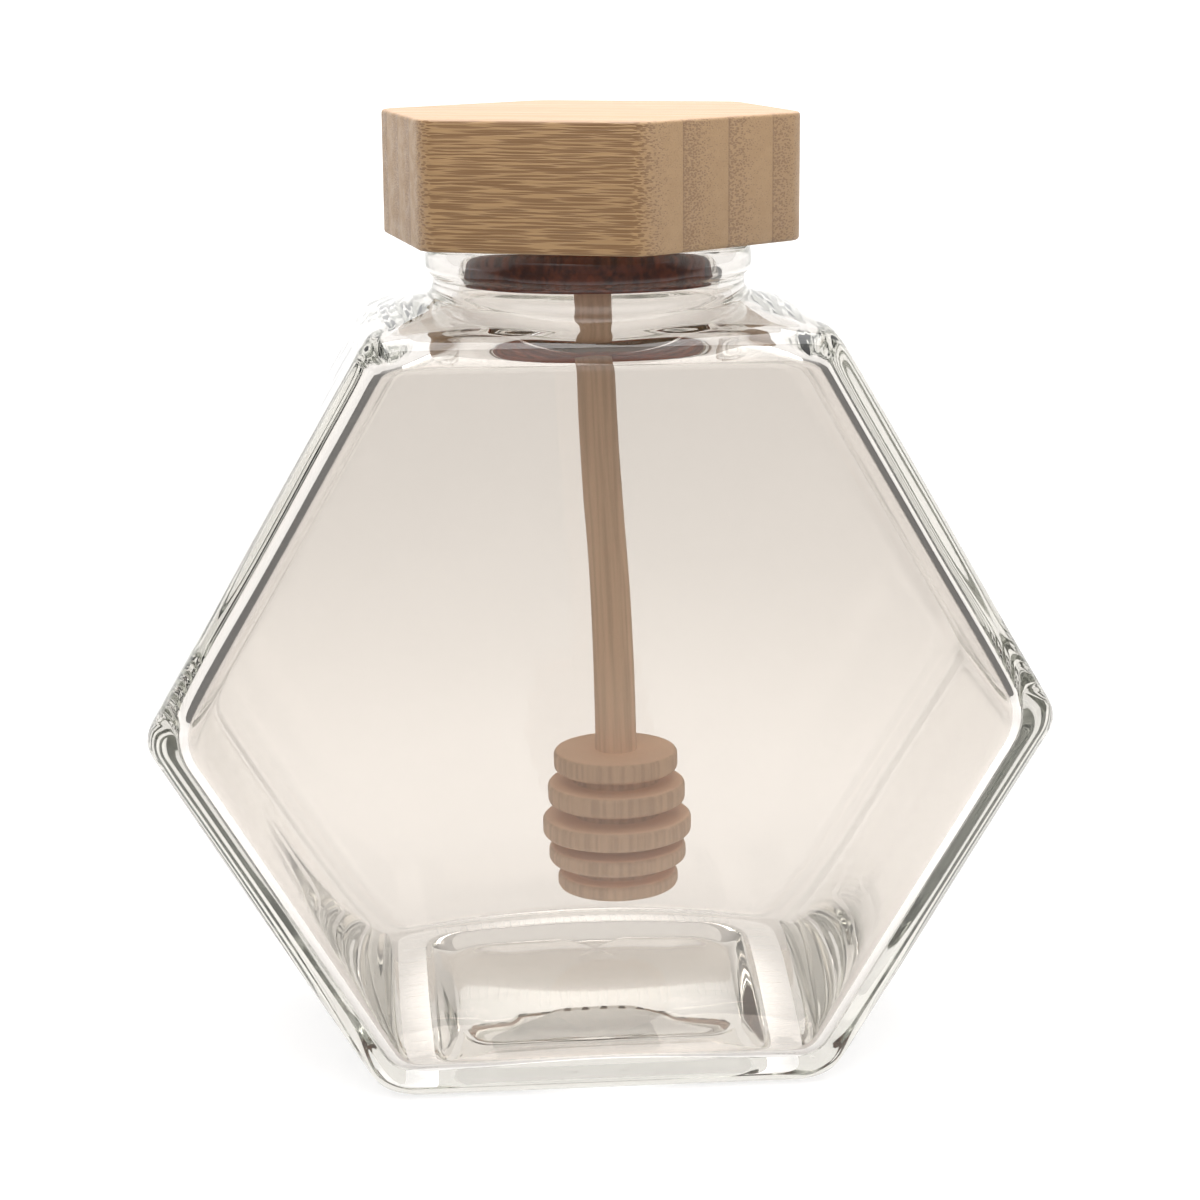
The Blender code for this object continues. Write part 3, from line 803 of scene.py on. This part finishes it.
def outer_rings(shape):
    """Outside of the body, from the bearing ring up to the shoulder's edge."""
    s = shape.s
    rings = []
    heel = shape.heel_arc(0.0, s.edge_radius)
    for width, depth, z in heel:
        rings.append(section(width, depth, z, s.edge_radius))
    point = shape.point_arc(s.edge_radius)
    for z in between(heel[-1][2], point[0][1], WALL_STEPS):
        rings.append(section(shape.side_line(z), shape.half_depth, z, s.edge_radius))
    for width, z in point:
        rings.append(section(width, shape.half_depth, z, s.edge_radius))
    edge_z = s.body_height - s.edge_radius
    for z in between(point[-1][1], edge_z, WALL_STEPS):
        rings.append(section(shape.side_line(z), shape.half_depth, z, s.edge_radius))
    for step in range(ARC_STEPS):
        angle = math.pi / 2.0 * step / ARC_STEPS
        z = edge_z + s.edge_radius * math.sin(angle)
        depth = shape.half_depth - s.edge_radius * (1.0 - math.cos(angle))
        ease = SHOULDER_EASE * (step / ARC_STEPS) ** 3
        rings.append(section(shape.side_line(z) - ease, depth, z, s.edge_radius))
    return rings


def table_rings(table, base):
    """Rings from a table of half width, half depth, corner, roundness and two heights over the base."""
    rings = []
    for width, depth, corner, roundness, front_z, side_z in table:
        rings.append(section(width * MM, depth * MM, base + front_z * MM, corner * MM, roundness,
                             base + side_z * MM))
    return rings


def edge_rings(radius, height, offsets):
    """Round rings at (outwards, upwards) offsets in mm from an edge."""
    return [round_section(radius + out * MM, height + up * MM) for out, up in offsets]


def neck_rings(shape):
    """Saddle shoulder, neck, bead, rim and bore, down to the inside of the shoulder."""
    s = shape.s
    front = s.body_height + SADDLE_FRONT
    rings = table_rings(SADDLE_SECTIONS, front)
    for out, front_z, side_z in COLLAR_RINGS:
        rings.append(round_section(s.neck_radius + out * MM, front + front_z * MM, front + side_z * MM))
    rings += edge_rings(s.neck_radius, BEAD_BOTTOM, BEAD_UNDERSIDE)
    rings += edge_rings(s.bead_radius, BEAD_BOTTOM, BEAD_LOWER_EDGE)
    rings += edge_rings(s.bead_radius, s.neck_top, RIM_OUTER_EDGE)
    rings += edge_rings(s.bore_radius, s.neck_top, RIM_INNER_EDGE)
    rings.append(round_section(s.bore_radius, BORE_BOTTOM))
    return rings + table_rings(FLARE_SECTIONS, s.roof_height)


def inner_rings(shape):
    """Inside of the walls, from the shoulder down to the middle of the thick floor."""
    s = shape.s
    inner_depth = shape.half_depth - s.wall
    radius = s.inner_edge_radius
    top_radius = s.roof_edge_radius
    rings = []
    for step in range(ARC_STEPS - 1, ARC_STEPS + 1):
        angle = math.pi / 2.0 * step / ARC_STEPS
        z = s.roof_height - top_radius * (1.0 - math.cos(angle))
        depth = inner_depth - top_radius * (1.0 - math.sin(angle))
        ease = ROOF_EASE * (1.0 - step / ARC_STEPS) ** 2
        rings.append(section(shape.side_line(z, s.wall) - ease, depth, z, radius))
    point = list(reversed(shape.point_arc(s.inner_point_radius, s.wall)))
    for z in between(s.roof_height - top_radius, point[0][1], WALL_STEPS):
        rings.append(section(shape.side_line(z, s.wall), inner_depth, z, radius))
    for width, z in point:
        rings.append(section(width, inner_depth, z, radius))
    floor = list(reversed(shape.heel_arc(s.floor_height, s.floor_radius, s.wall)))
    for z in between(point[-1][1], floor[0][2], WALL_STEPS):
        rings.append(section(shape.side_line(z, s.wall), inner_depth, z, radius))
    for width, depth, z in floor:
        rings.append(section(width, depth, z, radius))
    width, depth, z = floor[-1]
    for shrink in FLOOR_SHARES:
        rings.append(section(width * shrink, depth * shrink, z, radius * shrink))
    for ring in rings:
        for point in ring:
            point.z += shape.floor_lift(point)
    return rings


def ripple(bm, sizes):
    """Slow unevenness of blown glass: strong inside, hardly any outside."""
    half_depth = sizes.depth / 2.0
    for vert in bm.verts:
        place = vert.co
        inside = abs(place.y) < half_depth - 0.8 * sizes.wall and place.z > 0.4 * sizes.floor_height
        inside = inside and place.z < sizes.body_height - sizes.wall
        amount = sizes.waviness if inside else sizes.waviness * RIPPLE_OUTSIDE
        fine = RIPPLE_FINE_WEIGHT * noise.noise(place * RIPPLE_FINE_SCALE)
        swell = noise.noise(place * RIPPLE_SCALE) + fine
        if place.z > RIPPLE_FREE_FOOT:
            vert.co = place + vert.normal * swell * amount


class HONEYJAR_OT_glass(bpy.types.Operator):
    """Make the blown glass jar"""

    bl_idname = "honeyjar.glass"
    bl_label = "Glass Jar"

    def execute(self, context):
        sizes = context.scene.honey_jar
        shape = JarShape(sizes)
        rings = foot_rings(shape) + outer_rings(shape) + neck_rings(shape) + inner_rings(shape)
        bm = loft(rings)
        bm.normal_update()
        ripple(bm, sizes)
        piece = finish_mesh(bm, "jar_glass", 180.0)
        subdivide(piece, 1)
        dress(piece, "jar", glass_material(tuple(context.scene.honey_finish.glass)))
        return {"FINISHED"}


class HONEYJAR_OT_lid(bpy.types.Operator):
    """Make the hexagonal bamboo lid"""

    bl_idname = "honeyjar.lid"
    bl_label = "Bamboo Lid"

    def execute(self, context):
        wood = context.scene.honey_wood
        bm = bmesh.new()
        height = LID_HIGH.z - LID_LOW.z
        made = bmesh.ops.create_cone(bm, cap_ends=True, segments=6, radius1=wood.lid_radius,
                                     radius2=wood.lid_radius, depth=height)["verts"]
        first_angle = math.atan2(made[0].co.y, made[0].co.x)
        bmesh.ops.rotate(bm, verts=bm.verts, matrix=Matrix.Rotation(-first_angle, 3, "Z"))
        upright = [edge for edge in bm.edges if abs(edge.verts[0].co.z - edge.verts[1].co.z) > MM]
        bmesh.ops.bevel(bm, geom=upright, offset=wood.lid_corner * math.tan(math.radians(30.0)),
                        offset_type="OFFSET", segments=10, profile=0.5, affect="EDGES", material=-1)
        rims = [edge for edge in bm.edges if abs(edge.verts[0].co.z - edge.verts[1].co.z) < 0.01 * MM]
        bmesh.ops.bevel(bm, geom=rims, offset=wood.lid_edge, offset_type="OFFSET", segments=4,
                        profile=0.5, affect="EDGES", material=-1)
        middle = Matrix.Translation((0.0, 0.0, LID_LOW.z + height / 2.0))
        place = middle @ Matrix.Rotation(wood.lid_turn, 4, "Z")
        bmesh.ops.transform(bm, matrix=place, verts=bm.verts)
        piece = finish_mesh(bm, "lid_bamboo", 35.0)
        dress(piece, "lid", bamboo_material(context.scene.honey_finish, wood))
        return {"FINISHED"}


def spin_profile(profile, steps):
    """Turn (radius, height) points, listed top to bottom, about the Z axis."""
    bm = bmesh.new()
    verts = [bm.verts.new((radius, 0.0, height)) for radius, height in profile]
    edges = [bm.edges.new(pair) for pair in zip(verts, verts[1:])]
    bmesh.ops.spin(bm, geom=verts + edges, cent=(0, 0, 0), axis=(0, 0, 1), angle=2.0 * math.pi,
                   steps=steps, use_merge=True)
    bmesh.ops.remove_doubles(bm, verts=bm.verts, dist=0.00001)
    bmesh.ops.recalc_face_normals(bm, faces=bm.faces)
    return bm


class HONEYJAR_OT_cork(bpy.types.Operator):
    """Make the dark cork disc in the neck"""

    bl_idname = "honeyjar.cork"
    bl_label = "Cork Disc"

    def execute(self, context):
        top = CORK_HIGH.z
        bottom = CORK_LOW.z
        radius = CORK_HIGH.x
        foot_radius = radius - CORK_TAPER
        profile = [(0.0, top)]
        profile += [(radius * share, top) for share in (0.5, 0.9)]
        side_steps = 12
        for step in range(side_steps + 1):
            share = step / side_steps
            height = top + (bottom + CORK_EDGE - top) * share
            profile.append((radius + (foot_radius - radius) * share, height))
        profile += [(foot_radius - 0.15 * MM, bottom + 0.15 * MM), (foot_radius - CORK_EDGE, bottom)]
        profile += [(foot_radius * share, bottom) for share in (0.9, 0.75, 0.6, 0.45, 0.3, 0.15, 0.0)]
        bm = spin_profile(profile, 128)
        for vert in bm.verts:
            out = Vector((vert.co.x, vert.co.y, 0.0))
            if out.length > 0.9 * foot_radius and bottom < vert.co.z < top:
                dent = noise.noise(vert.co * 900.0) + noise.noise(vert.co * 350.0)
                vert.co -= out.normalized() * max(dent, 0.0) * CORK_DENT
        piece = finish_mesh(bm, "cork_disc", 50.0)
        dress(piece, "stopper", cork_material(context.scene.honey_finish))
        return {"FINISHED"}


class HONEYJAR_OT_stick(bpy.types.Operator):
    """Make the dipper's dowel, from the cork into the head"""

    bl_idname = "honeyjar.stick"
    bl_label = "Dipper Dowel"

    def execute(self, context):
        top = CORK_LOW.z
        bottom = HEAD_HIGH.z - DOWEL_IN_HEAD
        bm = bmesh.new()
        ring = bmesh.ops.create_circle(bm, cap_ends=True, segments=32, radius=1.0)["verts"]
        edges = list(bm.edges)
        place_ring(ring, 0.0, top, bottom)
        for step in range(1, DOWEL_STEPS + 1):
            grown = bmesh.ops.extrude_edge_only(bm, edges=edges)["geom"]
            ring = [item for item in grown if isinstance(item, bmesh.types.BMVert)]
            edges = [item for item in grown if isinstance(item, bmesh.types.BMEdge) and item.is_boundary]
            place_ring(ring, step / DOWEL_STEPS, top, bottom)
        bmesh.ops.contextual_create(bm, geom=edges)
        bmesh.ops.recalc_face_normals(bm, faces=bm.faces)
        piece = finish_mesh(bm, "dipper_dowel", 50.0)
        lean = math.atan2(DOWEL_DRIFT, DOWEL_LENGTH)
        wood = beech_material("beech_dowel", tuple(context.scene.honey_finish.dowel), lean)
        dress(piece, "dipper_stick", wood)
        return {"FINISHED"}


def place_ring(ring, share, top, bottom):
    """Put one ring of the dowel at its share of the way down."""
    centre_x = (DOWEL_PLACE + DOWEL_DRIFT * share - DOWEL_BOW * math.sin(2.0 * math.pi * share)) * MM
    radius = (DOWEL_RADIUS + DOWEL_RADIUS_GROWTH * share) * MM
    height = top + (bottom - top) * share
    middle = sum((vert.co for vert in ring), Vector()) / len(ring)
    for vert in ring:
        direction = (vert.co - middle) * Vector((1.0, 1.0, 0.0))
        direction.normalize()
        uneven = DOWEL_UNEVEN * noise.noise(Vector((direction.x, direction.y, height * 90.0)))
        vert.co = Vector((centre_x, 0.0, height)) + direction * (radius + uneven)


class HONEYJAR_OT_head(bpy.types.Operator):
    """Make the turned dipper head with its five rings"""

    bl_idname = "honeyjar.head"
    bl_label = "Dipper Head"

    def execute(self, context):
        wood = context.scene.honey_wood
        edge = HEAD_GROOVE_EDGE
        top = (sum(HEAD_HEIGHTS) + sum(HEAD_GROOVES)) * MM
        profile = [(0.0, top), (HEAD_RADII[0] * MM * 0.5, top)]
        for index, (ring_radius, ring_height) in enumerate(zip(HEAD_RADII, HEAD_HEIGHTS)):
            bottom = top - ring_height * MM
            profile += rounded_rim(ring_radius * MM, top, bottom, HEAD_SOFT_EDGE)
            if index < len(HEAD_GROOVES):
                profile.append((wood.groove_radius + edge, bottom))
                profile.append((wood.groove_radius, bottom - edge))
                top = bottom - HEAD_GROOVES[index] * MM
                profile.append((wood.groove_radius, top + edge))
                profile.append((wood.groove_radius + edge, top))
        profile += [(HEAD_RADII[-1] * MM * 0.5, 0.0), (0.0, 0.0)]
        bm = spin_profile(profile, 96)
        for vert in bm.verts:
            out = Vector((vert.co.x, vert.co.y, 0.0))
            if out.length > wood.groove_radius:
                vert.co += out.normalized() * HEAD_UNEVEN * noise.noise(vert.co * 260.0)
        place = Matrix.Translation(HEAD_PLACE) @ Matrix.Rotation(wood.head_tilt, 4, "Y")
        bmesh.ops.transform(bm, matrix=place, verts=bm.verts)
        piece = finish_mesh(bm, "dipper_rings", 50.0)
        finish = beech_material("beech_head", tuple(context.scene.honey_finish.head), 0.0)
        dress(piece, "dipper_head", finish)
        return {"FINISHED"}


def rounded_rim(radius, top, bottom, soft):
    """Profile round the rim of one ring, with its two edges softened."""
    rim = [(radius - 2.5 * soft, top)]
    steps = 5
    for step in range(steps + 1):
        angle = math.pi / 2.0 * step / steps
        rim.append((radius - soft * (1.0 - math.sin(angle)), top - soft * (1.0 - math.cos(angle))))
    for step in range(steps + 1):
        angle = math.pi / 2.0 * step / steps
        rim.append((radius - soft * (1.0 - math.cos(angle)), bottom + soft * (1.0 - math.sin(angle))))
    rim.append((radius - 2.5 * soft, bottom))
    return rim


class HONEYJAR_OT_studio(bpy.types.Operator):
    """Make the pale floor, the soft lights and the camera"""

    bl_idname = "honeyjar.studio"
    bl_label = "Studio"

    def execute(self, context):
        scene = context.scene
        make_floor(scene)
        make_sky(scene)
        area_light(scene, "overhead", LAMP_PLACE, (0.0, 0.0, 0.0), LAMP_SIZE, LAMP_POWER)
        make_camera(scene)
        scene.view_settings.view_transform = "Standard"
        scene.view_settings.look = "None"
        scene.cycles.max_bounces = LIGHT_BOUNCES
        scene.cycles.transmission_bounces = LIGHT_BOUNCES
        scene.cycles.glossy_bounces = LIGHT_BOUNCES
        return {"FINISHED"}


def make_floor(scene):
    """Floor and backdrop in one curved sweep."""
    bm = bmesh.new()
    start = bm.verts.new((-SWEEP_HALF_WIDTH, SWEEP_FRONT, 0.0))
    end = bm.verts.new((SWEEP_HALF_WIDTH, SWEEP_FRONT, 0.0))
    edges = [bm.edges.new((start, end))]
    path = [(SWEEP_BEND, 0.0)]
    for step in range(1, SWEEP_STEPS + 1):
        angle = math.pi / 2.0 * step / SWEEP_STEPS
        path.append((SWEEP_BEND + SWEEP_RADIUS * math.sin(angle), SWEEP_RADIUS * (1.0 - math.cos(angle))))
    path.append((SWEEP_BEND + SWEEP_RADIUS, SWEEP_TOP))
    for y, z in path:
        grown = bmesh.ops.extrude_edge_only(bm, edges=edges)["geom"]
        edges = [item for item in grown if isinstance(item, bmesh.types.BMEdge)]
        verts = [item for item in grown if isinstance(item, bmesh.types.BMVert)]
        for vert in verts:
            vert.co.y = y
            vert.co.z = z
    bmesh.ops.recalc_face_normals(bm, faces=bm.faces)
    sweep = finish_mesh(bm, "studio_sweep", 60.0)
    sweep.data.materials.append(sweep_material())


def sweep_material():
    """White glowing paper that falls off to grey in front of the jar, out of the picture, with a painted pool
    of light that glows on the floor right under the jar.
    """
    material, tree, shader = new_material("studio_white", 0.9)
    shader.inputs["Specular IOR Level"].default_value = 0.0
    shader.inputs["Emission Color"].default_value = (1.0, 1.0, 1.0, 1.0)
    parts = add_node(tree, "ShaderNodeSeparateXYZ")
    tree.links.new(local_coordinates(tree), parts.inputs[0])
    near = map_range(tree, parts.outputs["Y"], -0.30, -0.09)
    far = map_range(tree, parts.outputs["Y"], 0.9, 1.5)
    paper = mix_colour(tree, near, (0.12, 0.12, 0.12), (0.55, 0.55, 0.55))
    tree.links.new(paper, shader.inputs["Base Color"])
    glow = math_node(tree, "ADD", math_node(tree, "MULTIPLY", near, 0.58), 0.08)
    glow = math_node(tree, "ADD", glow, math_node(tree, "MULTIPLY", far, 0.05))
    across = math_node(tree, "DIVIDE", parts.outputs["X"], 1.1)
    away = math_node(tree, "ADD", math_node(tree, "POWER", across, 2.0),
                     math_node(tree, "POWER", parts.outputs["Y"], 2.0))
    # Painted light: extra glow on the floor right under the jar's foot, where the jar's shade falls
    under = map_range(tree, math_node(tree, "SQRT", away), 0.020, 0.027, 0.45, 0.0)
    tree.links.new(math_node(tree, "ADD", glow, under), shader.inputs["Emission Strength"])
    return material


def make_sky(scene):
    """Pale surroundings, darker to both sides, with a soft light high up in front."""
    world = bpy.data.worlds.new("studio_sky")
    world.use_nodes = True
    tree = world.node_tree
    background = tree.nodes["Background"]
    background.inputs["Color"].default_value = (1.0, 0.99, 0.98, 1.0)
    source = add_node(tree, "ShaderNodeTexCoord")
    way = add_node(tree, "ShaderNodeSeparateXYZ")
    tree.links.new(source.outputs["Generated"], way.inputs[0])
    side = math_node(tree, "ABSOLUTE", way.outputs["X"])
    side_light = map_range(tree, side, 0.35, 0.85, 0.62, 0.22)
    front_light = map_range(tree, way.outputs["Y"], -0.9, 0.0, 0.5, 1.0)
    light = math_node(tree, "MULTIPLY", side_light, front_light)
    high = map_range(tree, way.outputs["Z"], 0.2, 0.5)
    before = map_range(tree, way.outputs["Y"], -0.55, -0.25, 1.0, 0.0)
    soft_light = math_node(tree, "MULTIPLY", math_node(tree, "MULTIPLY", high, before), 1.9)
    tree.links.new(math_node(tree, "ADD", light, soft_light), background.inputs["Strength"])
    scene.world = world


def area_light(scene, name, place, target, size, power):
    """A square lamp at a place, aimed at the target."""
    light = bpy.data.lights.new(name, "AREA")
    light.energy = power
    light.size = size
    lamp = bpy.data.objects.new(name, light)
    lamp.location = place
    lamp.rotation_euler = (Vector(target) - Vector(place)).to_track_quat("-Z", "Y").to_euler()
    scene.collection.objects.link(lamp)


def make_camera(scene):
    """The photograph's camera, turned about its line of sight by the roll."""
    camera = bpy.data.cameras.new("photo_camera")
    camera.lens = CAMERA_LENS
    camera.sensor_width = CAMERA_SENSOR
    camera.clip_start = 0.01
    forward = (CAMERA_TARGET - CAMERA_PLACE).normalized()
    right = forward.cross(Vector((0.0, 0.0, 1.0))).normalized()
    up = right.cross(forward)
    rolled_right = right * math.cos(CAMERA_ROLL) + up * math.sin(CAMERA_ROLL)
    rolled_up = up * math.cos(CAMERA_ROLL) - right * math.sin(CAMERA_ROLL)
    turn = Matrix((rolled_right, rolled_up, -forward)).transposed()
    holder = bpy.data.objects.new("photo_camera", camera)
    holder.matrix_world = Matrix.Translation(CAMERA_PLACE) @ turn.to_4x4()
    scene.collection.objects.link(holder)
    scene.camera = holder


class HONEYJAR_PT_panel(bpy.types.Panel):
    """Lists the sizes, colours and pieces"""

    bl_idname = "HONEYJAR_PT_panel"
    bl_label = "Honey Jar"
    bl_space_type = "VIEW_3D"
    bl_region_type = "UI"
    bl_category = "Honey Jar"

    def draw(self, context):
        layout = self.layout
        for group in (context.scene.honey_jar, context.scene.honey_wood, context.scene.honey_finish):
            box = layout.box()
            for name in group.__annotations__:
                box.prop(group, name)
        for operator in PIECE_OPERATORS:
            layout.operator(operator.bl_idname)


PIECE_OPERATORS = (HONEYJAR_OT_glass, HONEYJAR_OT_lid, HONEYJAR_OT_cork, HONEYJAR_OT_stick,
                   HONEYJAR_OT_head, HONEYJAR_OT_studio)
CLASSES = (HONEYJAR_PG_jar, HONEYJAR_PG_wood, HONEYJAR_PG_finish) + PIECE_OPERATORS + (HONEYJAR_PT_panel,)


def register():
    for cls in CLASSES:
        bpy.utils.register_class(cls)
    bpy.types.Scene.honey_jar = bpy.props.PointerProperty(type=HONEYJAR_PG_jar)
    bpy.types.Scene.honey_wood = bpy.props.PointerProperty(type=HONEYJAR_PG_wood)
    bpy.types.Scene.honey_finish = bpy.props.PointerProperty(type=HONEYJAR_PG_finish)


def unregister():
    del bpy.types.Scene.honey_finish
    del bpy.types.Scene.honey_wood
    del bpy.types.Scene.honey_jar
    for cls in reversed(CLASSES):
        bpy.utils.unregister_class(cls)


def main():
    register()
    bpy.ops.honeyjar.glass()
    bpy.ops.honeyjar.lid()
    bpy.ops.honeyjar.cork()
    bpy.ops.honeyjar.stick()
    bpy.ops.honeyjar.head()
    bpy.ops.honeyjar.studio()
    bpy.context.view_layer.update()


if __name__ == "__main__":
    main()
